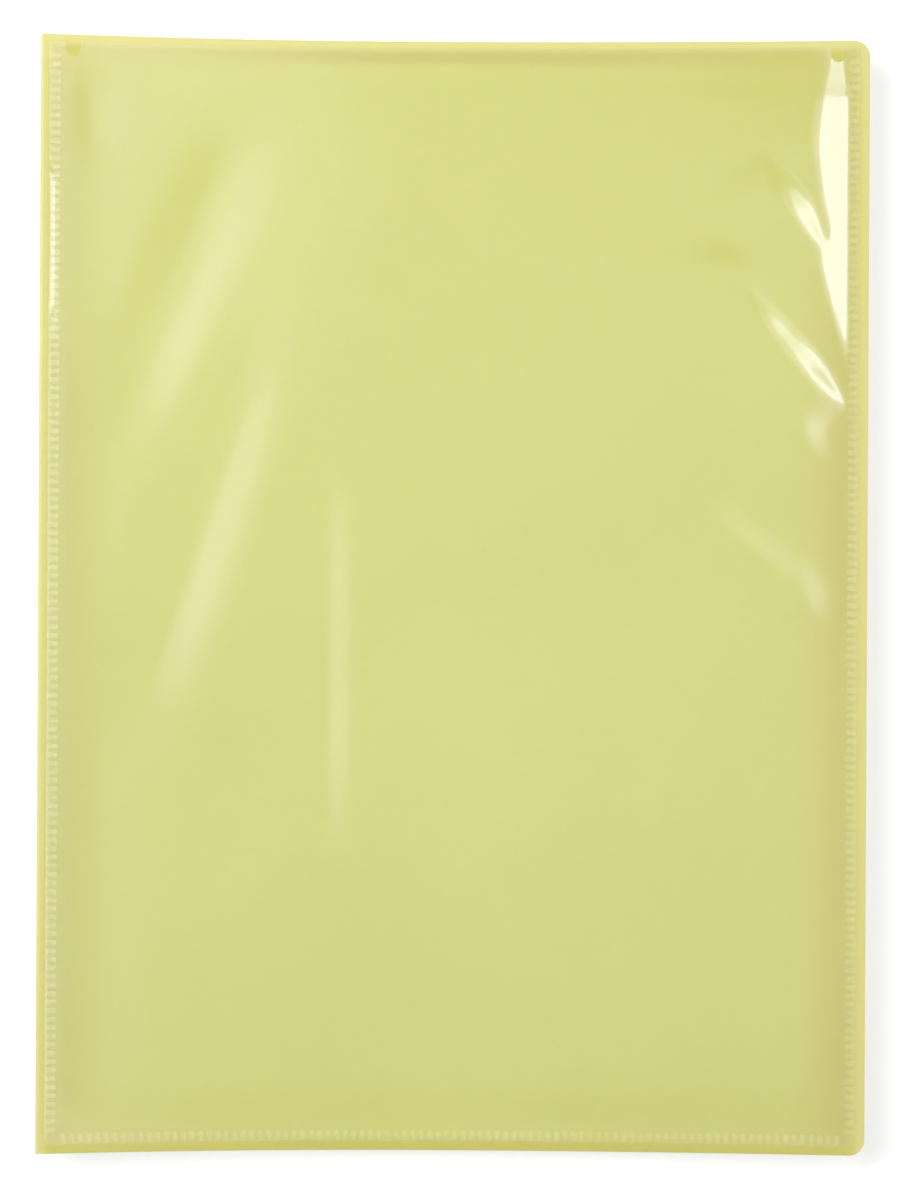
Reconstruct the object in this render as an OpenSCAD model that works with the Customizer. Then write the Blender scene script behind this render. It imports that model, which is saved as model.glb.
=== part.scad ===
// Display book: clear A4 pockets bound into a folded, translucent cover sheet.
// The closed book lies on its back cover, the spine along -X, the head of the
// book towards +Y and the front cover facing up. The origin is under the middle
// of the book, in the plane it lies on. All sizes are in millimetres.

/* [Cover sheet] */
// Width of the closed book, from the spine to the free edges
cover_width = 230; // [226:1:260]
// Height of the cover, from foot to head
cover_height = 310; // [307:1:340]
// Thickness of the cover sheet
sheet_thickness = 0.5; // [0.4:0.05:0.8]
// Width of the spine, which is the closed thickness there
spine_width = 15; // [12:0.5:30]
// Radius of the two free corners of each cover
corner_radius = 4.5; // [1:0.5:10]
// Distance from the spine to the line where the bowed front cover lies lowest
valley_distance = 107; // [60:1:160]
// Rise of the front cover's free edge above its lowest line
free_edge_rise = 4.9; // [0.5:0.1:10]
// Play between a rounded crease edge and the seat it turns in
crease_play = 0.05; // [0.03:0.01:0.15]

/* [Front pocket] */
// Thickness of the clear film over the front cover
front_film = 0.1; // [0.06:0.02:0.2]
// Room between the front cover and its film, bridged by the weld bars
front_room = 0.2; // [0.1:0.05:0.6]
// Distance from the cover's sides and foot to the edges of the film
film_margin = 2.6; // [1:0.1:3]
// Distance from the head of the cover to the open edge of the film
film_head_margin = 2; // [0:0.5:20]
// Radius of the film's two corners at the foot
film_corner = 2; // [0.5:0.5:6]
// Width of the relief notch cut into the film beside each end of its open edge
notch_width = 4; // [2:0.5:5]
// Depth of a relief notch, from the film's open edge
notch_depth = 4; // [3:0.5:8]
// Distance from the middle of a side weld to the middle of its relief notch
notch_distance = 4.6; // [4.6:0.1:10]
// Distance from the cover's edge to the middle of a ladder weld
weld_inset = 4.3; // [4.3:0.1:5]
// Length of a weld bar, across its seam
bar_length = 2.5; // [1:0.1:3]
// Width of a weld bar, along its seam
bar_width = 1.3; // [0.6:0.1:1.8]
// Spacing of the weld bars along a seam
bar_pitch = 2.36; // [2:0.02:4]

/* [Pockets] */
// Number of pockets, even, so that the book opens at its middle
pocket_count = 20; // [10:2:24]
// Width of a pocket, from its hinge line to its outer edge
pocket_width = 214; // [213:0.5:218]
// Height of a pocket, from foot to open head
pocket_height = 300; // [298.5:0.5:303]
// Distance from the foot of the cover to the foot of the pockets
pocket_foot_margin = 3.6; // [2:0.1:4]
// Spacing of the pockets in the closed stack
pocket_pitch = 0.25; // [0.22:0.01:0.3]
// Thickness of each of the two films of a pocket
pocket_film = 0.06; // [0.04:0.01:0.07]
// Room between the two films of a pocket
pocket_room = 0.05; // [0.04:0.01:0.06]
// Width of a pocket's seams
seam_width = 1.5; // [1:0.1:1.5]
// Clearance between the stack of pockets and the covers
stack_clearance = 0.3; // [0.2:0.05:1]

/* [Binding] */
// Depth of the binding strip at the outermost pockets
binding_depth = 2.5; // [2:0.1:4]
// Thickness of the strip's flange on the spine
flange_thickness = 0.8; // [0.4:0.1:1.5]
// Gap left by the bend of the film between the strip and a pocket's hinge line
bend_gap = 0.12; // [0.1:0.01:0.15]

/* [Hidden] */
// How fine circles and the bowed profile are drawn
$fn = 48;
bow_steps = 16;
// Air around a seam, so that the films and seams stay separate sheets
seam_air = 0.01;
// Extra reach of a cutting or masking body past what it cuts
reach = 1;

half_sheet = sheet_thickness / 2;
spine_x = -cover_width / 2;
free_x = cover_width / 2;
foot_y = -cover_height / 2;
head_y = cover_height / 2;
spine_face_x = spine_x + sheet_thickness;
crease_x = spine_x + half_sheet;
back_crease_z = half_sheet;
front_crease_z = spine_width - half_sheet;
seat_radius = half_sheet + crease_play;

pocket_thickness = 2 * pocket_film + pocket_room;
hinge_setback = pocket_thickness / 2 + seam_air;
stack_z = sheet_thickness + stack_clearance;
stack_top_z = stack_z + (pocket_count - 1) * pocket_pitch + pocket_thickness;
pocket_foot_y = foot_y + pocket_foot_margin;

valley_x = spine_x + valley_distance;
valley_z = stack_top_z + stack_clearance + half_sheet;
spine_rise = front_crease_z - valley_z;

film_left_x = spine_x + film_margin;
film_right_x = free_x - film_margin;
film_foot_y = foot_y + film_margin;
film_head_y = head_y - film_head_margin;
weld_left_x = spine_x + weld_inset;
weld_right_x = free_x - weld_inset;
weld_foot_y = foot_y + weld_inset;
bars_up = floor((film_head_y - weld_foot_y - bar_length) / bar_pitch);
bars_across = floor((weld_right_x - weld_left_x - bar_length) / bar_pitch);
bars_across_x = (weld_left_x + weld_right_x - (bars_across - 1) * bar_pitch) / 2;

function pad(k) = k < 10 ? str("0", k) : str(k);
function pocket_name(k) = str("pocket_", pad(k));
// Pocket 1 lies on top, and the middle pockets hinge furthest from the spine.
function pocket_z(k) = stack_z + pocket_pitch * (pocket_count - k);
function hinge_x(k) = spine_face_x + binding_depth + pocket_pitch * min(k - 1, pocket_count - k);

// Height of the middle of the bowed front cover at a distance along X
function spine_side(x) = spine_rise * pow((valley_x - x) / (valley_x - crease_x), 2);
function free_side(x) = free_edge_rise * pow((x - valley_x) / (free_x - valley_x), 2);
function bow_z(x) = valley_z + (x < valley_x ? spine_side(x) : free_side(x));
function between(a, b, i) = a + (b - a) * i / bow_steps;
bow_x = concat(
    [for (i = [0 : bow_steps]) between(crease_x, valley_x, i)],
    [for (i = [1 : bow_steps]) between(valley_x, free_x, i)]
);

// Carries a cross-section drawn in X and Z along Y over the given stretch.
module along_y(from, length) {
    translate([0, from + length, 0])
        rotate([90, 0, 0])
            linear_extrude(height = length)
                children();
}

// Cross-section of a layer of the bowed front, between two heights above its middle
module bow_section(low, high) {
    last = len(bow_x) - 1;
    polygon(concat(
        [for (x = bow_x) [x, bow_z(x) + high]],
        [for (i = [0 : last]) [bow_x[last - i], bow_z(bow_x[last - i]) + low]]
    ));
}

// Rounded edge on which a cover turns in the spine's seat
module crease_nose(z) {
    translate([crease_x, foot_y, z])
        rotate([-90, 0, 0])
            cylinder(h = cover_height, r = half_sheet);
}

// Outline with a straight side at the left and round corners where asked
module sheet_outline(left, right, foot, head, radius, round_left, round_head) {
    inset_left = round_left ? radius : 0;
    inset_head = round_head ? radius : 0;
    corners_x = round_left ? [left + radius, right - radius] : [right - radius];
    corners_y = round_head ? [foot + radius, head - radius] : [foot + radius];
    translate([left, foot + radius])
        square([right - left, head - foot - radius - inset_head]);
    translate([left + inset_left, foot])
        square([right - left - radius - inset_left, head - foot]);
    for (x = corners_x, y = corners_y)
        translate([x, y])
            circle(r = radius);
}

// Outline of a cover, from its crease to its rounded free corners
module cover_outline() {
    sheet_outline(crease_x, free_x, foot_y, head_y, corner_radius, false, true);
}

// Half-round notch that keeps the film from tearing at an end of its opening
module relief_notch(x) {
    radius = notch_width / 2;
    translate([x, film_head_y - notch_depth + radius]) {
        circle(r = radius);
        translate([-radius, 0])
            square([notch_width, notch_depth - radius + reach]);
    }
}

// Outline of the front film, rounded at the foot, open and notched at the head
module film_outline() {
    difference() {
        sheet_outline(film_left_x, film_right_x, film_foot_y, film_head_y, film_corner, true, false);
        relief_notch(weld_left_x + notch_distance);
        relief_notch(weld_right_x - notch_distance);
    }
}

module back_cover() {
    color("khaki") {
        linear_extrude(height = sheet_thickness)
            cover_outline();
        crease_nose(back_crease_z);
    }
}

module front_cover() {
    color("khaki") {
        intersection() {
            along_y(foot_y, cover_height)
                bow_section(-half_sheet, half_sheet);
            linear_extrude(height = spine_width + reach)
                cover_outline();
        }
        crease_nose(front_crease_z);
    }
}

// Flat back of the book. Each end is hollowed for a cover's edge on the outside, and
// its inner half is cut back by a sheet's thickness to leave the folded cover room.
module spine_panel() {
    color("khaki")
        along_y(foot_y, cover_height)
            difference() {
                translate([spine_x, back_crease_z])
                    square([sheet_thickness, front_crease_z - back_crease_z]);
                for (z = [back_crease_z, front_crease_z])
                    translate([crease_x, z]) {
                        circle(r = seat_radius);
                        translate([0, -sheet_thickness])
                            square([reach, 2 * sheet_thickness]);
                    }
            }
}

module front_pocket_film() {
    color("ivory")
        intersection() {
            along_y(foot_y, cover_height)
                bow_section(half_sheet + front_room, half_sheet + front_room + front_film);
            linear_extrude(height = spine_width + reach)
                film_outline();
        }
}

// One bar of a ladder weld, tall enough to be trimmed to the pocket's room
module weld_bar(x, y, width, length) {
    translate([x - width / 2, y - length / 2, 0])
        cube([width, length, spine_width + reach]);
}

module front_pocket_weld() {
    color("wheat")
        intersection() {
            along_y(foot_y, cover_height)
                bow_section(half_sheet, half_sheet + front_room);
            union() {
                for (x = [weld_left_x, weld_right_x], i = [1 : bars_up])
                    weld_bar(x, weld_foot_y + i * bar_pitch, bar_length, bar_width);
                for (i = [0 : bars_across - 1])
                    weld_bar(bars_across_x + i * bar_pitch, weld_foot_y, bar_width, bar_length);
            }
        }
}

// Fused roots of the pockets, stepped so that the leaves can fold flat either way
module binding_strip() {
    color("whitesmoke")
        along_y(pocket_foot_y, pocket_height) {
            translate([spine_face_x, stack_z])
                square([flange_thickness, front_crease_z - 2 * sheet_thickness - stack_z]);
            for (k = [1 : pocket_count])
                translate([spine_face_x, pocket_z(k)])
                    square([hinge_x(k) - bend_gap - spine_face_x, pocket_pitch]);
        }
}

// Seam between the two films of a pocket, drawn from its lower left corner
module seam(x, y, width, length) {
    translate([x, y, pocket_film + seam_air])
        cube([width, length, pocket_room - 2 * seam_air]);
}

// Fused edge of a pocket, on the hinge line that the film bends along
module hinge_bead(k) {
    translate([hinge_x(k), pocket_foot_y, pocket_z(k) + pocket_thickness / 2])
        rotate([-90, 0, 0])
            cylinder(h = pocket_height, r = pocket_thickness / 2);
}

// Two films joined by seams at the binding, the foot and the outer edge
module pocket(k) {
    film_width = pocket_width - hinge_setback;
    color("azure") {
        hinge_bead(k);
        translate([hinge_x(k) + hinge_setback, pocket_foot_y, pocket_z(k)]) {
            for (z = [0, pocket_film + pocket_room])
                translate([0, 0, z])
                    cube([film_width, pocket_height, pocket_film]);
            for (x = [0, film_width - seam_width])
                seam(x, 0, seam_width, pocket_height);
            seam(seam_width + seam_air, 0, film_width - 2 * (seam_width + seam_air), seam_width);
        }
    }
}

back_cover();
spine_panel();
front_cover();
front_pocket_film();
front_pocket_weld();
binding_strip();
for (k = [1 : pocket_count])
    pocket(k);
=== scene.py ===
import math
import bpy
import numpy as np
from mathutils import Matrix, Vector


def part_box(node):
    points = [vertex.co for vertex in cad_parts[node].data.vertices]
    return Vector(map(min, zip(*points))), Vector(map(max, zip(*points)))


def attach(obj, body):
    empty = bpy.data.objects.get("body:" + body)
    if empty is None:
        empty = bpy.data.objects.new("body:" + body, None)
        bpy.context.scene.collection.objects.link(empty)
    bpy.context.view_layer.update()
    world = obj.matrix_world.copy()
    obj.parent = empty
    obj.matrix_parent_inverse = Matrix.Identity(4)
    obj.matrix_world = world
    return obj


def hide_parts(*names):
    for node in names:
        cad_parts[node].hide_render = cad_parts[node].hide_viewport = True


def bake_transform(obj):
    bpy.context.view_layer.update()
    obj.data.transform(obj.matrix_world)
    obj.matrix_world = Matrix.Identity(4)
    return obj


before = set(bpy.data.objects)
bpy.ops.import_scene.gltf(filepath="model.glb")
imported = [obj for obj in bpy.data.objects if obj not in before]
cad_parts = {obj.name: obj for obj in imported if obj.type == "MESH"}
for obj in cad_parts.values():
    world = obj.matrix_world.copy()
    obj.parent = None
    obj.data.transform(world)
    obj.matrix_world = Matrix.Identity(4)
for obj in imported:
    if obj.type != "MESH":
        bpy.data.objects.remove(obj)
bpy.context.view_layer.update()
scene = bpy.context.scene
mm = 0.001
print("frame loaded:", len(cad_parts), "nodes")


def nodeBox(name):
    lo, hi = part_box(name)
    return np.array(lo) / mm, np.array(hi) / mm


# sizes that the CAD part already holds, in millimetres
coverLo, coverHi = nodeBox("front_cover")
backLo, backHi = nodeBox("back_cover")
filmLo, filmHi = nodeBox("front_pocket_film")
sheet = backHi[2] - backLo[2]
half = sheet / 2
creaseX = coverLo[0] + half
backCreaseZ = half
frontCreaseZ = coverHi[2] - half
midSpineZ = (backCreaseZ + frontCreaseZ) / 2

bow = {
    "valleyFromSpine": 107.0,  # the front cover lies lowest here
    "freeRise": 4.9,           # and stands this much higher at its free edge
    "slopeStep": 0.01,
}
valleyX = coverLo[0] + bow["valleyFromSpine"]
valleyZ = coverLo[2] + half


def bowZ(x):
    x = np.asarray(x, float)
    left = (frontCreaseZ - valleyZ) * ((valleyX - x) / (valleyX - creaseX)) ** 2
    right = bow["freeRise"] * ((x - valleyX) / (coverHi[0] - valleyX)) ** 2
    return valleyZ + np.where(x < valleyX, left, right)


def bowSlope(x):
    step = bow["slopeStep"]
    return (bowZ(x + step) - bowZ(x - step)) / (2 * step)


def smooth(t):
    t = np.clip(t, 0, 1)
    return t * t * (3 - 2 * t)


# mesh helpers

def addMesh(name, verts, faces, sharpAngle=40):
    mesh = bpy.data.meshes.new(name)
    mesh.from_pydata((np.asarray(verts, float) * mm).tolist(), [], faces)
    mesh.update()
    mesh.shade_smooth()
    mesh.set_sharp_from_angle(angle=math.radians(sharpAngle))
    return mesh


def addPiece(name, mesh, mat):
    obj = bpy.data.objects.new(name, mesh)
    scene.collection.objects.link(obj)
    if not mesh.materials:
        mesh.materials.append(mat)
    return obj


# two grids of points, joined round their rims into one closed skin
def closedSheet(upper, lower):
    n, m = upper.shape[:2]
    top = np.arange(n * m).reshape(n, m)
    low = top + n * m
    faces = []
    for a, flip in ((top, False), (low, True)):
        q = np.stack([a[:-1, :-1], a[1:, :-1], a[1:, 1:], a[:-1, 1:]], -1).reshape(-1, 4)
        faces += (q[:, ::-1] if flip else q).tolist()
    rim = [(i, 0) for i in range(n - 1)] + [(n - 1, j) for j in range(m - 1)]
    rim += [(i, m - 1) for i in range(n - 1, 0, -1)] + [(0, j) for j in range(m - 1, 0, -1)]
    for (i, j), (k, l) in zip(rim, rim[1:] + rim[:1]):
        faces.append([int(low[i, j]), int(low[k, l]), int(top[k, l]), int(top[i, j])])
    verts = np.concatenate([upper.reshape(-1, 3), lower.reshape(-1, 3)])
    return verts, faces


padShape = {
    "stations": np.array([-1.0, -0.72, 0.0, 0.72, 1.0]),  # from rim to rim
    "heights": np.array([0.0, 0.8, 1.0, 0.8, 0.0]),
    "foot": 0.1,                                          # how deep it is sunk
}


# a small rounded pad, closed, standing on its foot
def pad(cx, cy, lx, ly, baseZ, rise, tilt=0.0):
    u, h = padShape["stations"], padShape["heights"]
    gx, gy = np.meshgrid(u, u, indexing="ij")
    x = cx + gx * lx / 2
    y = cy + gy * ly / 2
    z = baseZ + tilt * (x - cx)
    up = np.stack([x, y, z + rise * np.minimum(h[:, None], h[None, :])], -1)
    low = np.stack([x, y, z - padShape["foot"]], -1)
    return closedSheet(up, low)


def joinParts(parts):
    verts, faces, at = [], [], 0
    for v, f in parts:
        verts.append(v)
        faces += [[i + at for i in face] for face in f]
        at += len(v)
    return np.concatenate(verts), faces


# shader nodes

noiseSpan = (0.3, 0.7)  # where most of a noise lies


# numbers and colours are set on a socket, the output of another node is linked to it
def feed(tree, socket, value):
    if isinstance(value, tuple):
        socket.default_value = (*value, 1)
    elif isinstance(value, (int, float)):
        socket.default_value = value
    else:
        tree.links.new(value, socket)


def mathNode(tree, kind, *values):
    node = tree.nodes.new("ShaderNodeMath")
    node.operation = kind
    for socket, value in zip(node.inputs, values):
        feed(tree, socket, value)
    return node.outputs[0]


def noiseNode(tree, vector, scale, detail, rough):
    node = tree.nodes.new("ShaderNodeTexNoise")
    values = {"Vector": vector, "Scale": scale, "Detail": detail, "Roughness": rough}
    for key, value in values.items():
        feed(tree, node.inputs[key], value)
    return node.outputs["Fac"]


def rangeNode(tree, value, span, result=(0, 1)):
    node = tree.nodes.new("ShaderNodeMapRange")
    keys = ("Value", "From Min", "From Max", "To Min", "To Max")
    for key, number in zip(keys, (value, *span, *result)):
        feed(tree, node.inputs[key], number)
    return node.outputs["Result"]


def colourBlend(tree, fac, a, b):
    node = tree.nodes.new("ShaderNodeMix")
    node.data_type = "RGBA"
    for key, value in {"Factor": fac, "A": a, "B": b}.items():
        feed(tree, node.inputs[key], value)
    return node.outputs["Result"]


def bumpNode(tree, height, strength, distance):
    node = tree.nodes.new("ShaderNodeBump")
    values = {"Strength": strength, "Distance": distance, "Height": height}
    for key, value in values.items():
        feed(tree, node.inputs[key], value)
    return node.outputs["Normal"]


def mixShaders(tree, fac, a, b):
    node = tree.nodes.new("ShaderNodeMixShader")
    for socket, value in zip(node.inputs, (fac, a, b)):
        feed(tree, socket, value)
    return node.outputs["Shader"]


def objectSpace(tree):
    return tree.nodes.new("ShaderNodeTexCoord").outputs["Object"]


# shader node groups

def newGroup(name, inputs, outputs):
    group = bpy.data.node_groups.new(name, "ShaderNodeTree")
    for label, value in inputs:
        socket = group.interface.new_socket(label, in_out="INPUT", socket_type="NodeSocketFloat")
        socket.default_value = value
    for label in outputs:
        group.interface.new_socket(label, in_out="OUTPUT", socket_type="NodeSocketFloat")
    return group, group.nodes.new("NodeGroupInput"), group.nodes.new("NodeGroupOutput")


# fine embossed grain of extruded sheet, with the faint cloudiness of its melt
def makeSheetGrain():
    group, gin, gout = newGroup("sheetGrain", [("Grain Scale", 900.0), ("Cloud Scale", 14.0)],
                                ["Height", "Cloud"])
    coord = objectSpace(group)
    fine = noiseNode(group, coord, gin.outputs["Grain Scale"], detail=3.0, rough=0.6)
    cloud = noiseNode(group, coord, gin.outputs["Cloud Scale"], detail=4.0, rough=0.55)
    group.links.new(fine, gout.inputs["Height"])
    group.links.new(cloud, gout.inputs["Cloud"])
    return group


scratch = {
    "runs": ((0.5, 26.0), (-0.9, 19.0)),  # turn and stretch of each set of lines
    "threshold": 0.68,                    # only the peaks of the noise show
    "gain": 5.0,
}


# hairline scratches and dull rubbed patches from handling
def makeHandling():
    group, gin, gout = newGroup("handlingMarks", [("Scratch Scale", 30.0), ("Rub Scale", 9.0)],
                                ["Scratches", "Rubbed"])
    coord = objectSpace(group)
    lines = []
    for turn, stretch in scratch["runs"]:
        mapping = group.nodes.new("ShaderNodeMapping")
        mapping.inputs["Rotation"].default_value = (0, 0, turn)
        mapping.inputs["Scale"].default_value = (stretch, 1, 1)
        group.links.new(coord, mapping.inputs["Vector"])
        streak = noiseNode(group, mapping.outputs["Vector"], gin.outputs["Scratch Scale"],
                           detail=2.0, rough=0.4)
        over = mathNode(group, "SUBTRACT", streak, scratch["threshold"])
        peak = mathNode(group, "MAXIMUM", over, 0.0)
        lines.append(mathNode(group, "MULTIPLY", peak, scratch["gain"]))
    rubbed = noiseNode(group, coord, gin.outputs["Rub Scale"], detail=5.0, rough=0.6)
    group.links.new(mathNode(group, "MINIMUM", mathNode(group, "ADD", *lines), 1.0),
                    gout.inputs["Scratches"])
    group.links.new(rubbed, gout.inputs["Rubbed"])
    return group


sheetGrain = makeSheetGrain()
handling = makeHandling()
print("node groups made")


# materials

def newMaterial(name):
    mat = bpy.data.materials.new(name)
    mat.use_nodes = True
    tree = mat.node_tree
    tree.nodes.clear()
    return mat, tree, tree.nodes.new("ShaderNodeOutputMaterial")


def useGroup(tree, group, values):
    node = tree.nodes.new("ShaderNodeGroup")
    node.node_tree = group
    for key, value in values.items():
        node.inputs[key].default_value = value
    return node


coverLook = {
    "pale": (0.83, 0.71, 0.10),
    "deep": (0.80, 0.68, 0.085),
    "cloudSpan": (0.35, 0.65),        # of the noise between these two colours
    "through": (0.93, 0.985, 0.835),  # what the sheet lets through
    "letThrough": 0.66,
    "rim": (0.85, 0.76, 0.28),        # painted sheen: paler, and letting less through, on the bare margins outside the film
    "sheenRimThrough": 0.47,
    "rimRight": (110.5, 113.5),       # the painted sheen starts and is full here
    "rimLeft": (-111.5, -113.5),
    "rimHead": (151.5, 153.5),
    "roughness": (0.36, 0.48),
    "ior": 1.49,
    "grainStrength": 0.25,
    "grainDepth": 0.00004,
}


# mask of the painted sheen on the bare margins outside the film
def paintedSheenMask(tree, look):
    split = tree.nodes.new("ShaderNodeSeparateXYZ")
    tree.links.new(objectSpace(tree), split.inputs["Vector"])
    masks = []
    for axis, key in (("X", "rimRight"), ("X", "rimLeft"), ("Y", "rimHead")):
        start, full = look[key]
        masks.append(rangeNode(tree, split.outputs[axis], (start * mm, full * mm)))
    right, left, head = masks
    return mathNode(tree, "MAXIMUM", mathNode(tree, "MAXIMUM", right, left), head)


def makeCoverSheet(look):
    mat, tree, out = newMaterial("coverSheet")
    grain = useGroup(tree, sheetGrain, {"Grain Scale": 1400.0, "Cloud Scale": 11.0})
    marks = useGroup(tree, handling, {"Scratch Scale": 22.0, "Rub Scale": 13.0})
    bsdf = tree.nodes.new("ShaderNodeBsdfPrincipled")
    cloud = rangeNode(tree, grain.outputs["Cloud"], look["cloudSpan"])
    tint = colourBlend(tree, cloud, look["deep"], look["pale"])
    # painted sheen: the margins take the paler rim colour and let less light through
    rim = paintedSheenMask(tree, look)
    tree.links.new(colourBlend(tree, rim, tint, look["rim"]), bsdf.inputs["Base Color"])
    rubbed = rangeNode(tree, marks.outputs["Rubbed"], noiseSpan, look["roughness"])
    tree.links.new(rubbed, bsdf.inputs["Roughness"])
    bsdf.inputs["IOR"].default_value = look["ior"]
    normal = bumpNode(tree, grain.outputs["Height"], look["grainStrength"], look["grainDepth"])
    tree.links.new(normal, bsdf.inputs["Normal"])
    through = tree.nodes.new("ShaderNodeBsdfTranslucent")
    feed(tree, through.inputs["Color"], look["through"])
    share = rangeNode(tree, rim, (0, 1), (look["letThrough"], look["sheenRimThrough"]))
    surface = mixShaders(tree, share, bsdf.outputs["BSDF"], through.outputs["BSDF"])
    tree.links.new(surface, out.inputs["Surface"])
    return mat


# rays that are not looked along meet a plain skin, which keeps a stack of films quick to light
def plainForScatter(tree, full, skin):
    clear = tree.nodes.new("ShaderNodeBsdfTransparent")
    flat = tree.nodes.new("ShaderNodeBsdfDiffuse")
    feed(tree, flat.inputs["Color"], skin["scatter"])
    ray = tree.nodes.new("ShaderNodeLightPath")
    looked = mathNode(tree, "MAXIMUM", ray.outputs["Is Camera Ray"], ray.outputs["Is Glossy Ray"])
    veil = rangeNode(tree, ray.outputs["Is Transmission Ray"], (0, 1),
                     (skin["milk"] + skin["glint"], skin["veil"]))
    plain = mixShaders(tree, veil, clear.outputs["BSDF"], flat.outputs["BSDF"])
    return mixShaders(tree, looked, plain, full)


# what the clear skins share
clearLook = {
    "glossSpread": (0.8, 1.3),  # rubbed patches are duller
    "milkSpread": (0.8, 1.2),
    "hazeRoughness": (0.45, 0.6),
    "facingBlend": 0.5,
    "facingPower": 5.0,
    "grainStrength": 0.3,
}


# a clear skin: mostly see-through, a mirror by its facing angle, and a little milk
def makeClearSkin(name, skin):
    mat, tree, out = newMaterial(name)
    grain = useGroup(tree, sheetGrain, {"Grain Scale": skin["grainScale"], "Cloud Scale": 25.0})
    marks = useGroup(tree, handling, {"Scratch Scale": 34.0, "Rub Scale": 16.0})
    clear = tree.nodes.new("ShaderNodeBsdfTransparent")
    feed(tree, clear.inputs["Color"], skin["tint"])
    mirror = tree.nodes.new("ShaderNodeBsdfPrincipled")
    feed(tree, mirror.inputs["Base Color"], skin["glare"])
    mirror.inputs["Metallic"].default_value = 1.0
    gloss = [skin["gloss"] * k for k in clearLook["glossSpread"]]
    rubbed = rangeNode(tree, marks.outputs["Rubbed"], noiseSpan, gloss)
    scratched = mathNode(tree, "MULTIPLY", marks.outputs["Scratches"], skin["scratchDull"])
    tree.links.new(mathNode(tree, "ADD", rubbed, scratched), mirror.inputs["Roughness"])
    normal = bumpNode(tree, grain.outputs["Height"], clearLook["grainStrength"], skin["grainDepth"])
    tree.links.new(normal, mirror.inputs["Normal"])
    weight = tree.nodes.new("ShaderNodeLayerWeight")
    weight.inputs["Blend"].default_value = clearLook["facingBlend"]
    facing = mathNode(tree, "POWER", weight.outputs["Facing"], clearLook["facingPower"])
    shine = mathNode(tree, "ADD", mathNode(tree, "MULTIPLY", facing, skin["graze"]), skin["shine"])
    haze = tree.nodes.new("ShaderNodeBsdfPrincipled")
    feed(tree, haze.inputs["Base Color"], skin["milkColour"])
    dull = rangeNode(tree, grain.outputs["Cloud"], noiseSpan, clearLook["hazeRoughness"])
    tree.links.new(dull, haze.inputs["Roughness"])
    milk = [skin["milk"] * k for k in clearLook["milkSpread"]]
    cloudy = rangeNode(tree, grain.outputs["Cloud"], noiseSpan, milk)
    body = mixShaders(tree, cloudy, clear.outputs["BSDF"], haze.outputs["BSDF"])
    full = mixShaders(tree, shine, body, mirror.outputs["BSDF"])
    tree.links.new(plainForScatter(tree, full, skin), out.inputs["Surface"])
    return mat


# milk is the share of haze, tint what passes through, glare to gloss the mirror,
# scatter to veil the plain skin that light meets
frontSkin = {
    "milkColour": (0.95, 0.93, 0.80), "milk": 0.012, "tint": (1, 0.995, 0.95),
    "scatter": (0.95, 0.95, 0.93), "glint": 0.0, "veil": 0.02,
    "glare": (0.68, 0.71, 1.0), "shine": 0.055, "graze": 0.6, "gloss": 0.10,
    "grainScale": 260.0, "grainDepth": 0.00002, "scratchDull": 0.10,
}
pocketSkin = {
    "milkColour": (0.76, 0.82, 0.76), "milk": 0.003, "tint": (1, 1, 1),
    "scatter": (0.87, 0.94, 1.0), "glint": 0.25, "veil": 0.9,
    "glare": (1, 1, 1), "shine": 0.0015, "graze": 0.06, "gloss": 0.22,
    "grainScale": 700.0, "grainDepth": 0.00004, "scratchDull": 0.12,
}
weldSkin = {
    "milkColour": (0.97, 0.93, 0.68), "milk": 0.04, "tint": (1, 1, 0.98),
    "scatter": (0.95, 0.95, 0.90), "glint": 0.02, "veil": 0.10,
    "glare": (1, 1, 1), "shine": 0.03, "graze": 0.5, "gloss": 0.16,
    "grainScale": 900.0, "grainDepth": 0.00003, "scratchDull": 0.05,
}
seamSkin = {
    "milkColour": (0.84, 0.89, 0.84), "milk": 0.05, "tint": (1, 1, 1),
    "scatter": (0.95, 0.98, 0.96), "glint": 0.03, "veil": 0.5,
    "glare": (1, 1, 1), "shine": 0.01, "graze": 0.12, "gloss": 0.25,
    "grainScale": 900.0, "grainDepth": 0.00003, "scratchDull": 0.05,
}
bindingLook = {
    "milk": (0.66, 0.68, 0.65),
    "shade": (0.56, 0.58, 0.55),
    "through": (0.85, 0.87, 0.84),
    "letThrough": 0.35,
    "roughness": (0.3, 0.45),
    "grainStrength": 0.4,
    "grainDepth": 0.0001,
}


def makeBinding(look):
    mat, tree, out = newMaterial("fusedBinding")
    grain = useGroup(tree, sheetGrain, {"Grain Scale": 500.0, "Cloud Scale": 60.0})
    bsdf = tree.nodes.new("ShaderNodeBsdfPrincipled")
    tint = colourBlend(tree, grain.outputs["Cloud"], look["shade"], look["milk"])
    tree.links.new(tint, bsdf.inputs["Base Color"])
    rough = rangeNode(tree, grain.outputs["Height"], noiseSpan, look["roughness"])
    tree.links.new(rough, bsdf.inputs["Roughness"])
    normal = bumpNode(tree, grain.outputs["Height"], look["grainStrength"], look["grainDepth"])
    tree.links.new(normal, bsdf.inputs["Normal"])
    through = tree.nodes.new("ShaderNodeBsdfTranslucent")
    feed(tree, through.inputs["Color"], look["through"])
    surface = mixShaders(tree, look["letThrough"], bsdf.outputs["BSDF"], through.outputs["BSDF"])
    tree.links.new(surface, out.inputs["Surface"])
    return mat


coverMat = makeCoverSheet(coverLook)
filmMat = makeClearSkin("frontFilm", frontSkin)
pocketMat = makeClearSkin("pocketFilm", pocketSkin)
weldMat = makeClearSkin("weldBars", weldSkin)
seamMat = makeClearSkin("pocketSeams", seamSkin)
bindingMat = makeBinding(bindingLook)
print("materials made")


# folded cover sheet: two pieces that meet unseen along the middle of the spine

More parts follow.
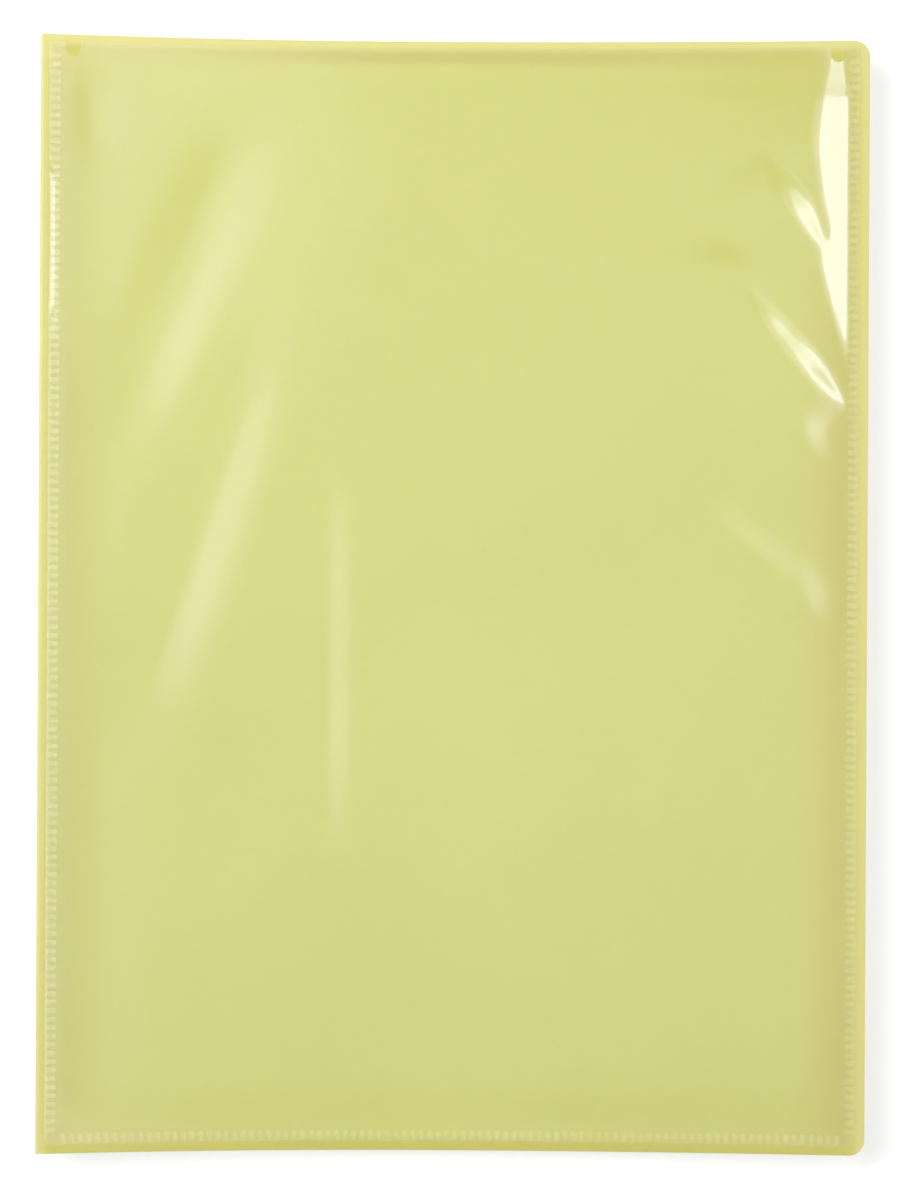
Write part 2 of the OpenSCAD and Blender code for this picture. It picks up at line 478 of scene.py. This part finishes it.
fold = {
    "bendRadius": 0.5,      # at the middle of the sheet
    "bendSteps": 12,
    "blendReach": 0.8,      # how far from a crease
    "cornerRadius": 4.5,
    "scoreFromSpine": 1.9,  # pressed line beside the front crease
    "scoreDepth": 0.07,
    "scoreWidth": 0.28,
    "fineReach": 3.5,       # columns lie close up to here, for the score
    "wideFrom": 5.0,        # and wide from here until as far from the free edge
    "frontGap": 0.2,        # first column after the bend
    "backGap": 0.1,
    "frontColumns": (30, 70),
    "backColumns": (16, 50),
    "cornerColumns": 12,
    "spineRows": 8,
    "rows": 49,
}


def edgeColumns():  # columns that follow a rounded corner
    r = fold["cornerRadius"]
    turn = np.linspace(0, math.pi / 2, fold["cornerColumns"])
    return coverHi[0] - r + r * np.sin(turn)


def rowReach(x):  # half height of the cover at a distance along X
    r = fold["cornerRadius"]
    d = np.clip(x - (coverHi[0] - r), 0, r)
    return coverHi[1] - r + np.sqrt(np.maximum(r * r - d * d, 0))


def sheetAlong(points, normals, groove):
    v = np.sin(np.linspace(-1, 1, fold["rows"]) * math.pi / 2)
    y = v[None, :] * rowReach(points[:, 0])[:, None]
    skins = []
    for off in (half - groove, -half * np.ones(len(points))):
        p = points + normals * off[:, None]
        x, z = (np.broadcast_to(p[:, [k]], y.shape) for k in (0, 1))
        skins.append(np.stack([x, y, z], -1))
    return closedSheet(*skins)


def bend(centre, radius, start, end):
    a = np.radians(np.linspace(start, end, fold["bendSteps"]))
    n = np.stack([np.cos(a), np.sin(a)], 1)
    return np.array(centre) + radius * n, n


def upright(z):  # points and normals up the spine
    return np.stack([np.full_like(z, creaseX), z], 1), np.tile([-1.0, 0.0], (len(z), 1))


def makeFrontSheet():
    r = fold["bendRadius"]
    tip = math.degrees(math.atan(-float(bowSlope(np.array(creaseX + r)))))
    arcP, arcN = bend((creaseX + r, frontCreaseZ - r), r, 180, 90 - tip)
    upP, upN = upright(np.linspace(midSpineZ, frontCreaseZ - r, fold["spineRows"])[:-1])
    fineCount, wideCount = fold["frontColumns"]
    fine = np.linspace(arcP[-1, 0] + fold["frontGap"], creaseX + fold["fineReach"], fineCount)
    wide = np.linspace(creaseX + fold["wideFrom"], coverHi[0] - fold["wideFrom"], wideCount)
    x = np.concatenate([fine, wide, edgeColumns()])
    k = bowSlope(x)
    topN = np.stack([-k, np.ones_like(k)], 1) / np.sqrt(1 + k * k)[:, None]
    points = np.concatenate([upP, arcP, np.stack([x, bowZ(x)], 1)])
    normals = np.concatenate([upN, arcN, topN])
    fromScore = points[:, 0] - coverLo[0] - fold["scoreFromSpine"]
    score = np.exp(-(fromScore / fold["scoreWidth"]) ** 2)
    score[: len(upP) + len(arcP)] = 0
    return sheetAlong(points, normals, fold["scoreDepth"] * score)


def makeBackSheet():
    r = fold["bendRadius"]
    arcP, arcN = bend((creaseX + r, backCreaseZ + r), r, 270, 180)
    fineCount, wideCount = fold["backColumns"]
    wide = np.linspace(coverHi[0] - fold["wideFrom"], creaseX + fold["wideFrom"], wideCount)
    fine = np.linspace(creaseX + fold["fineReach"], creaseX + r + fold["backGap"], fineCount)
    x = np.concatenate([edgeColumns()[::-1], wide, fine])
    flatP = np.stack([x, np.full_like(x, backCreaseZ)], 1)
    flatN = np.tile([0.0, -1.0], (len(x), 1))
    upP, upN = upright(np.linspace(backCreaseZ + r, midSpineZ, fold["spineRows"])[1:])
    points = np.concatenate([flatP, arcP, upP])
    normals = np.concatenate([flatN, arcN, upN])
    return sheetAlong(points, normals, np.zeros(len(points)))


coverFront = addPiece("coverFront", addMesh("coverFront", *makeFrontSheet()), coverMat)
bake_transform(coverFront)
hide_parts("front_cover")
coverBack = addPiece("coverBack", addMesh("coverBack", *makeBackSheet()), coverMat)
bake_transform(coverBack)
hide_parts("back_cover", "spine_panel")
print("cover sheet made")


# clear front film, slack between its welds

weld = {"inset": 4.3, "barLength": 2.5, "barWidth": 1.3, "pitch": 2.36, "rise": 0.016}
weldLeft, weldRight = coverLo[0] + weld["inset"], coverHi[0] - weld["inset"]
weldFoot = coverLo[1] + weld["inset"]

slack = {
    "base": 0.22,        # mean lift of the film off the cover
    "weldRamp": 13.0,    # the film needs this far to rise from a weld
    "edgeLift": 0.10,    # loose margin outside the welds
    "edgeReach": 1.35,
    "flare": 0.215,      # slope of the stretch that stands up along the left weld
    "flareInside": 0.3,
    "flareFrom": 70.0,
    "flareRise": 12.0,
    "flareTo": 119.0,
    "flareDrop": 3.0,
    "climb": 0.185,      # slope beside the right weld
    "climbAt": [40, 62, 66, 84, 93, 98, 102, 111, 126, 138, 148, 153],
    "climbReach": [-4, -2, 0.4, 6.2, 8.6, 6.4, 5.8, 8.0, 10.1, 8.5, 6.2, 5.2],
    "turn": 0.6,
    "footAt": [139, 142, 149],   # near the head the climb starts further in
    "footReach": [0, 0.9, 1.9],
    "footTurn": 0.12,
    "fade": 42.0,
    # ridges of the slack film: ends, half width and height
    "ridges": [
        {"a": (81, 57), "b": (105, 39), "width": 5.5, "lift": 0.62},
        {"a": (62, 26), "b": (106, -6), "width": 7.0, "lift": 0.76},
        {"a": (69, 95), "b": (91, 75), "width": 5.5, "lift": 0.52},
        {"a": (-58, 131), "b": (-94, 46), "width": 11.0, "lift": 1.05},
        {"a": (-52, 78), "b": (-87, -32), "width": 9.0, "lift": 0.84},
        {"a": (-37, 44), "b": (-37, -82), "width": 7.0, "lift": 0.68},
        {"a": (-103, 146), "b": (-101, 120), "width": 6.0, "lift": 0.42},
    ],
    "ridgeReach": 0.45,  # from the middle of a ridge, as a share of its length
    # creased folds: ends of the even flank, its width and its slope
    "folds": [
        {"a": (81.5, 84.5), "b": (109.6, 52.8), "width": 7.2, "slope": 0.25, "taper": 1.0},
        {"a": (85.5, 125), "b": (104.2, 94.8), "width": 7.0, "slope": 0.24, "taper": 1.4},
    ],
    "foldTurn": 0.30,
    "foldFade": 14.0,
    "foldEnd": 1.5,      # the folds run out this near the right weld
}


# where a point lies along the line from a to b, as a share of its length, and across it
def alongAcross(x, y, a, b):
    length = math.dist(a, b)
    ux, uy = (b[0] - a[0]) / length, (b[1] - a[1]) / length
    along = ((x - a[0]) * ux + (y - a[1]) * uy) / length
    across = (y - a[1]) * ux - (x - a[0]) * uy
    return along, across


def ridge(x, y, a, b, width, lift):
    along, across = alongAcross(x, y, a, b)
    ends = np.exp(-((along - 0.5) / slack["ridgeReach"]) ** 4)
    return lift * ends * np.exp(-((across / width) ** 2))


def softRamp(t, turn):
    return turn * np.logaddexp(0, t / turn)


def rampPast(d, start, turn):  # level up to start, then climbs
    return softRamp(d - start, turn) - softRamp(-start, turn)


# lens-shaped flank that falls away to the right of its line
def crease(x, y, a, b, width, slope, taper):
    along, across = alongAcross(x, y, a, b)
    wide = width * np.sin(math.pi * np.clip(along, 0, 1)) ** taper
    turn = slack["foldTurn"]
    fall = wide - softRamp(across + wide / 2, turn) + softRamp(across - wide / 2, turn)
    return slope * fall * np.exp(-(np.minimum(across, 0) / slack["foldFade"]) ** 2)


# beside the right weld near the head the film climbs steeply, then turns over into its slack
def sideSwell(x, y):
    d = np.maximum(weldRight - weld["barLength"] / 2 - x, 0)
    reach = np.interp(y, slack["climbAt"], slack["climbReach"])
    foot = np.interp(y, slack["footAt"], slack["footReach"])
    up = rampPast(d, foot, slack["footTurn"])
    past = rampPast(d, reach, slack["turn"])
    return slack["climb"] * np.maximum(up - past, 0) * np.exp(-(d / slack["fade"]) ** 2)


def filmLift(x, y):
    inner = weld["barLength"] / 2
    ramp = slack["weldRamp"]
    hold = smooth((x - weldLeft - inner) / ramp) * smooth((weldRight - inner - x) / ramp)
    hold = hold * smooth((y - weldFoot - inner) / ramp)
    rise = slack["base"] + sum(ridge(x, y, **r) for r in slack["ridges"])
    aside = np.maximum(weldLeft - inner - x, x - weldRight - inner)
    outside = np.maximum(aside, weldFoot - inner - y)
    near = smooth((weldRight - inner - x) / slack["foldEnd"])
    creased = near * sum(crease(x, y, **f) for f in slack["folds"])
    loose = slack["edgeLift"] * np.clip(outside / slack["edgeReach"], 0, 1)
    flare = smooth((y - slack["flareFrom"]) / slack["flareRise"])
    flare = flare * smooth((slack["flareTo"] - y) / slack["flareDrop"])
    stand = slack["flare"] * flare * np.maximum(weldLeft + slack["flareInside"] - x, 0)
    return hold * rise + creased + sideSwell(x, y) + loose + stand


film = {
    "room": 0.2,          # air between the cover and the film
    "thick": 0.1,
    "cornerRadius": 2.0,  # at the foot
    "fineFrom": 60.0,     # closer columns to the right of here
    "columns": (84, 66),
    "weldSteps": 9,       # columns or rows across a weld
    "rows": 170,
}


def filmRest(x):  # top of the film where it lies still
    return bowZ(x) + half + film["room"] + film["thick"]


def filmTop(x, y):
    return filmRest(x) + filmLift(x, y)


# relief notches at the ends of the opening
notch = {
    "radius": 2.0,
    "depth": 4.0,
    "fromWeld": 4.6,
    "columns": 19,
    "clear": 0.1,     # other columns keep off this far
    "wall": 0.02,     # the sides fall over this width
    "slip": 0.001,
    "stretch": 14.0,  # rows this far below the edge follow it
}
notchAt = (weldLeft + notch["fromWeld"], weldRight - notch["fromWeld"])


def notchDrop(x):
    drop = np.zeros_like(x)
    r = notch["radius"]
    for c in notchAt:
        d = np.abs(x - c)
        arch = notch["depth"] - r + np.sqrt(np.maximum(r * r - d * d, 0))
        drop = np.where(d <= r + notch["slip"], arch, drop)
    return drop


def filmColumns():
    inner = weld["barLength"] / 2
    wideCount, fineCount = film["columns"]
    x = np.concatenate([np.linspace(filmLo[0], weldLeft + inner, film["weldSteps"])[:-1],
                        np.linspace(weldLeft + inner, film["fineFrom"], wideCount)[:-1],
                        np.linspace(film["fineFrom"], weldRight - inner, fineCount)[:-1],
                        np.linspace(weldRight - inner, filmHi[0], film["weldSteps"])])
    r = notch["radius"]
    for c in notchAt:
        x = x[np.abs(x - c) > r + notch["clear"]]
        turn = r * np.sin(np.linspace(-math.pi / 2, math.pi / 2, notch["columns"]))
        x = np.concatenate([x, c + turn, [c - r - notch["wall"], c + r + notch["wall"]]])
    return np.sort(x)


def makeFilm():
    inner = weld["barLength"] / 2
    y = np.concatenate([np.linspace(filmLo[1], weldFoot + inner, film["weldSteps"])[:-1],
                        np.linspace(weldFoot + inner, filmHi[1], film["rows"])])
    gx, gy = np.meshgrid(filmColumns(), y, indexing="ij")
    r = film["cornerRadius"]
    for edge in (filmLo[0], filmHi[0]):  # pull the rim in to a round corner
        d = np.clip(r - np.abs(gx - edge), 0, r)
        gy = np.maximum(gy, filmLo[1] + r - np.sqrt(r * r - d * d))
    stretch = notch["stretch"]
    gy = gy - notchDrop(gx) * np.clip((gy - filmHi[1] + stretch) / stretch, 0, 1)
    top = filmTop(gx, gy)
    return closedSheet(np.stack([gx, gy, top], -1), np.stack([gx, gy, top - film["thick"]], -1))


frontFilm = addPiece("frontFilm", addMesh("frontFilm", *makeFilm(), sharpAngle=60), filmMat)
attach(frontFilm, "front")
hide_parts("front_pocket_film")
frontFilm.visible_shadow = False  # clear film hardly dims what lies under it


def makeWeldBars():
    length, width, pitch = weld["barLength"], weld["barWidth"], weld["pitch"]
    up = int((filmHi[1] - weldFoot - length) / pitch)
    across = int((weldRight - weldLeft - length) / pitch)
    firstX = (weldLeft + weldRight - (across - 1) * pitch) / 2
    spots = [(x, weldFoot + i * pitch, length, width)
             for x in (weldLeft, weldRight) for i in range(1, up + 1)]
    spots += [(firstX + i * pitch, weldFoot, width, length) for i in range(across)]
    parts = []
    for x, y, lx, ly in spots:
        slope = float(bowSlope(np.array(x)))
        parts.append(pad(x, y, lx, ly, float(filmRest(x)), weld["rise"], slope))
    return joinParts(parts)


weldBars = addPiece("weldBars", addMesh("weldBars", *makeWeldBars(), sharpAngle=70), weldMat)
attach(weldBars, "front")
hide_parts("front_pocket_weld")
weldBars.visible_shadow = False
print("front pocket made")


# clear pockets, all cut and welded alike

pocket = {
    "film": 0.06,
    "gap": 0.05,
    "seam": 1.5,
    "barPitch": 2.36,
    "barWidth": 1.3,
    "barRise": 0.02,
    "barInset": 0.1,
    "barStart": 0.4,       # first bar up a side, in pitches from the foot seam
    "footBarStart": 0.5,
    "headStep": 1.2,       # the upper film ends this far below the lower one
    "mouth": 14.0,         # depth to which the open mouth is cut
    "lipRoom": 1.0,        # rows keep off the lip this far
    "rootGap": 0.15,       # the films start this far from the hinge
    "clear": 0.085,        # set in by this from both ends of the solid
    "seamColumns": 4,
    "columns": 40,
    "footRows": 3,
    "rows": 54,
}
pocketNames = sorted(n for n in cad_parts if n.startswith("pocket_"))
firstLo, firstHi = nodeBox(pocketNames[0])
pocketSize = firstHi - firstLo

# slow waviness of the thin film
wave = {
    "height": 0.10,
    "calm": (12, 6, 6),    # the film lies still this near its hinge, outer edge and foot
    "across": 19,
    "along": 53,
    "alongShift": 0.4,
    "sway": 0.7,
    "swayLength": 41,
    "slant": 0.5,          # a second, slanting wave of this share
    "slantAcross": 33,
    "slantAlong": 27,
    "slantShift": 1.1,
}


def pocketWave(x, y):
    hinge, outer, foot = wave["calm"]
    calm = smooth(x / hinge) * smooth((pocketSize[0] - x) / outer) * smooth(y / foot)
    sway = wave["sway"] * np.sin(y / wave["swayLength"])
    slow = np.sin(x / wave["across"] + sway) * np.cos(y / wave["along"] + wave["alongShift"])
    slanted = np.sin(x / wave["slantAcross"] - y / wave["slantAlong"] + wave["slantShift"])
    slow = slow + wave["slant"] * slanted
    return wave["height"] / (1 + wave["slant"]) * calm * slow


# one skin runs up the outside of both films and dips into the mouth between them
def makePocketFilms():
    seam, wide, head = pocket["seam"], pocketSize[0], pocketSize[1]
    steps = pocket["seamColumns"]
    x = np.concatenate([np.linspace(pocket["rootGap"], seam, steps)[:-1],
                        np.linspace(seam, wide - seam, pocket["columns"]),
                        np.linspace(wide - seam, wide - pocket["clear"], steps)[1:]])
    thick, gap = pocket["film"], pocket["gap"]
    low = np.concatenate([np.linspace(0, seam, pocket["footRows"])[:-1],
                          np.linspace(seam, head, pocket["rows"])])
    lip = head - pocket["headStep"]
    mouth = lip - pocket["mouth"]
    path = [(y, 0.0) for y in low] + [(head, thick), (lip, thick), (mouth, thick)]
    path += [(mouth, thick + gap), (lip, thick + gap), (lip, 2 * thick + gap)]
    path += [(y, 2 * thick + gap) for y in low[::-1] if y < lip - pocket["lipRoom"]]
    path = np.array(path)
    n, m = len(x), len(path)
    gx = np.repeat(x[:, None], m, 1)
    gy = np.repeat(path[None, :, 0], n, 0)
    verts = np.stack([gx, gy, path[None, :, 1] + pocketWave(gx, gy)], -1).reshape(-1, 3)
    idx = np.arange(n * m).reshape(n, m)
    ring = np.roll(idx, -1, 1)
    faces = np.stack([idx[:-1], ring[:-1], ring[1:], idx[1:]], -1).reshape(-1, 4).tolist()
    faces += [idx[0].tolist()[::-1], idx[-1].tolist()]
    return verts, faces


def makePocketSeams():
    s, pitch, width = pocket["seam"], pocket["barPitch"], pocket["barWidth"]
    up = int((pocketSize[1] - s) / pitch)
    across = int((pocketSize[0] - 2 * s) / pitch)
    sides = (s / 2 + pocket["barInset"], pocketSize[0] - s / 2 - pocket["barInset"])
    spots = [(x, s + (i + pocket["barStart"]) * pitch, s, width) for x in sides for i in range(up)]
    spots += [(s + (i + pocket["footBarStart"]) * pitch, s / 2, width, s) for i in range(across)]
    top = 2 * pocket["film"] + pocket["gap"]
    return joinParts([pad(x, y, lx, ly, top, pocket["barRise"]) for x, y, lx, ly in spots])


pocketMesh = addMesh("pocketFilms", *makePocketFilms(), sharpAngle=60)
seamMesh = addMesh("pocketSeams", *makePocketSeams(), sharpAngle=70)
for name in pocketNames:
    lo = nodeBox(name)[0]
    body = "leaf_" + name[-2:]
    films = addPiece("films_" + name[-2:], pocketMesh, pocketMat)
    seams = addPiece("seams_" + name[-2:], seamMesh, seamMat)
    for piece in (films, seams):
        piece.location = Vector((lo[0] + pocket["clear"], lo[1], lo[2])) * mm
        piece.visible_shadow = False
        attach(piece, body)
    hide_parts(name)
print("pockets made:", len(pocketNames))

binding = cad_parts["binding_strip"]
binding.data.materials.clear()
binding.data.materials.append(bindingMat)


# floor, light and camera

# rays that look, as against rays that only carry light
def lookedAlong(tree):
    ray = tree.nodes.new("ShaderNodeLightPath")
    mirrored = mathNode(tree, "MAXIMUM", ray.outputs["Is Glossy Ray"],
                        ray.outputs["Is Transmission Ray"])
    looked = mathNode(tree, "MAXIMUM", ray.outputs["Is Camera Ray"], mirrored)
    direct = mathNode(tree, "SUBTRACT", looked, ray.outputs["Is Diffuse Ray"])
    return mathNode(tree, "MAXIMUM", direct, 0.0)


floorLook = {
    "colour": (0.55, 0.55, 0.55),
    "roughness": 0.9,
    "glow": (0.50, 0.85),     # it only looks white, and more so where the lamps fall off
    "glowSpan": (0.35, 1.6),
    "reach": 4000.0,
    "z": -0.3,
}


def makeFloor(look):
    mat, tree, out = newMaterial("paleFloor")
    bsdf = tree.nodes.new("ShaderNodeBsdfPrincipled")
    feed(tree, bsdf.inputs["Base Color"], look["colour"])
    bsdf.inputs["Roughness"].default_value = look["roughness"]
    glow = tree.nodes.new("ShaderNodeEmission")
    feed(tree, glow.inputs["Color"], (1, 1, 1))
    add = tree.nodes.new("ShaderNodeAddShader")
    away = tree.nodes.new("ShaderNodeVectorMath")
    away.operation = "LENGTH"
    tree.links.new(objectSpace(tree), away.inputs[0])
    lift = rangeNode(tree, away.outputs["Value"], look["glowSpan"], look["glow"])
    tree.links.new(mathNode(tree, "MULTIPLY", lookedAlong(tree), lift), glow.inputs["Strength"])
    tree.links.new(bsdf.outputs["BSDF"], add.inputs[0])
    tree.links.new(glow.outputs["Emission"], add.inputs[1])
    tree.links.new(add.outputs["Shader"], out.inputs["Surface"])
    corners = [(u * look["reach"], v * look["reach"], look["z"])
               for u, v in ((-1, -1), (1, -1), (1, 1), (-1, 1))]
    floor = addPiece("floor", addMesh("floor", corners, [[0, 1, 2, 3]]), mat)


# spans are parts of a direction of length one
room = {
    "low": 0.29,
    "walls": 0.42,
    "wallsZ": (0.10, 0.50),
    "roof": 0.90,              # band overhead, from left to right
    "roofZ": (0.78, 0.90),
    "roofY": (0.12, 0.27),
    "panel": 1.9,              # long panel on the right
    "panelAt": 0.30,
    "panelX": (0.20, 0.03),
    "panelY": (0.20, 0.42),
    "patch": 0.8,              # small patch towards the head
    "patchAt": (0.10, 0.21),
    "patchX": (0.02, 0.10),
    "patchY": (0.04, 0.14),
    "horizonZ": (0.12, 0.40),  # it looks white up to here
}


# pale room, dim low down and bright overhead, that looks white round the horizon
def makeWorld(look):
    world = bpy.data.worlds.new("studio")
    world.use_nodes = True
    tree = world.node_tree
    back = tree.nodes["Background"]
    feed(tree, back.inputs["Color"], (1, 1, 1))
    split = tree.nodes.new("ShaderNodeSeparateXYZ")
    direction = tree.nodes.new("ShaderNodeTexCoord").outputs["Generated"]
    tree.links.new(direction, split.inputs["Vector"])
    x, y, z = (split.outputs[axis] for axis in "XYZ")

    def distance(value, middle):
        return mathNode(tree, "ABSOLUTE", mathNode(tree, "SUBTRACT", value, middle))

    def both(a, b):
        return mathNode(tree, "MULTIPLY", a, b)

    walls = rangeNode(tree, z, look["wallsZ"], (look["low"], look["walls"]))
    aside = distance(y, 0)
    roof = both(rangeNode(tree, z, look["roofZ"]),
                rangeNode(tree, aside, look["roofY"], (look["roof"] - look["walls"], 0)))
    panel = both(rangeNode(tree, distance(x, look["panelAt"]), look["panelX"], (0, look["panel"])),
                 rangeNode(tree, aside, look["panelY"], (1, 0)))
    patchX, patchY = look["patchAt"]
    patch = both(rangeNode(tree, distance(x, patchX), look["patchX"], (look["patch"], 0)),
                 rangeNode(tree, distance(y, patchY), look["patchY"], (1, 0)))
    light = mathNode(tree, "ADD", mathNode(tree, "ADD", walls, roof),
                     mathNode(tree, "ADD", panel, patch))
    white = both(lookedAlong(tree), rangeNode(tree, z, look["horizonZ"], (1, 0)))
    tree.links.new(mathNode(tree, "MAXIMUM", light, white), back.inputs["Strength"])
    scene.world = world


def softBox(name, place, size, aim, power):
    lamp = bpy.data.lights.new(name, "AREA")
    lamp.shape = "RECTANGLE"
    lamp.size, lamp.size_y = size
    lamp.energy = power
    obj = bpy.data.objects.new(name, lamp)
    obj.location = place
    obj.rotation_euler = (Vector(aim) - Vector(place)).to_track_quat("-Z", "Y").to_euler()
    scene.collection.objects.link(obj)


lamps = {
    "leftBank": {
        "place": (-0.723, 0.357, 0.935), "aim": (-0.06, 0, 0),
        "size": (0.85, 0.85), "power": 13.6,
    },
    "rightStrip": {  # the folds of the film mirror this one and the next
        "place": (0.505, 0.26, 0.95), "aim": (0.105, 0.26, 0),
        "size": (0.66, 0.19), "power": 0.86,
    },
    "rightCore": {
        "place": (0.49, 0.24, 0.96), "aim": (0.09, 0.24, 0),
        "size": (0.30, 0.14), "power": 0.26,
    },
}
makeFloor(floorLook)
makeWorld(room)
for name, lamp in lamps.items():
    softBox(name, **lamp)

view = {
    "sensor": 36.0,
    "lens": 81.9,
    "place": (0.0, -0.0011, 0.770),
    "roll": 0.31,       # degrees
    "seeThrough": 128,  # skins in a row, for the stack of films
}
camera = bpy.data.cameras.new("camera")
camera.sensor_fit = "AUTO"
camera.sensor_width = view["sensor"]
camera.lens = view["lens"]
cameraObj = bpy.data.objects.new("camera", camera)
cameraObj.location = view["place"]
cameraObj.rotation_euler = (0, 0, math.radians(view["roll"]))
scene.collection.objects.link(cameraObj)
scene.camera = cameraObj
scene.view_settings.view_transform = "Standard"
scene.cycles.transparent_max_bounces = view["seeThrough"]
print("stage, light and camera made")
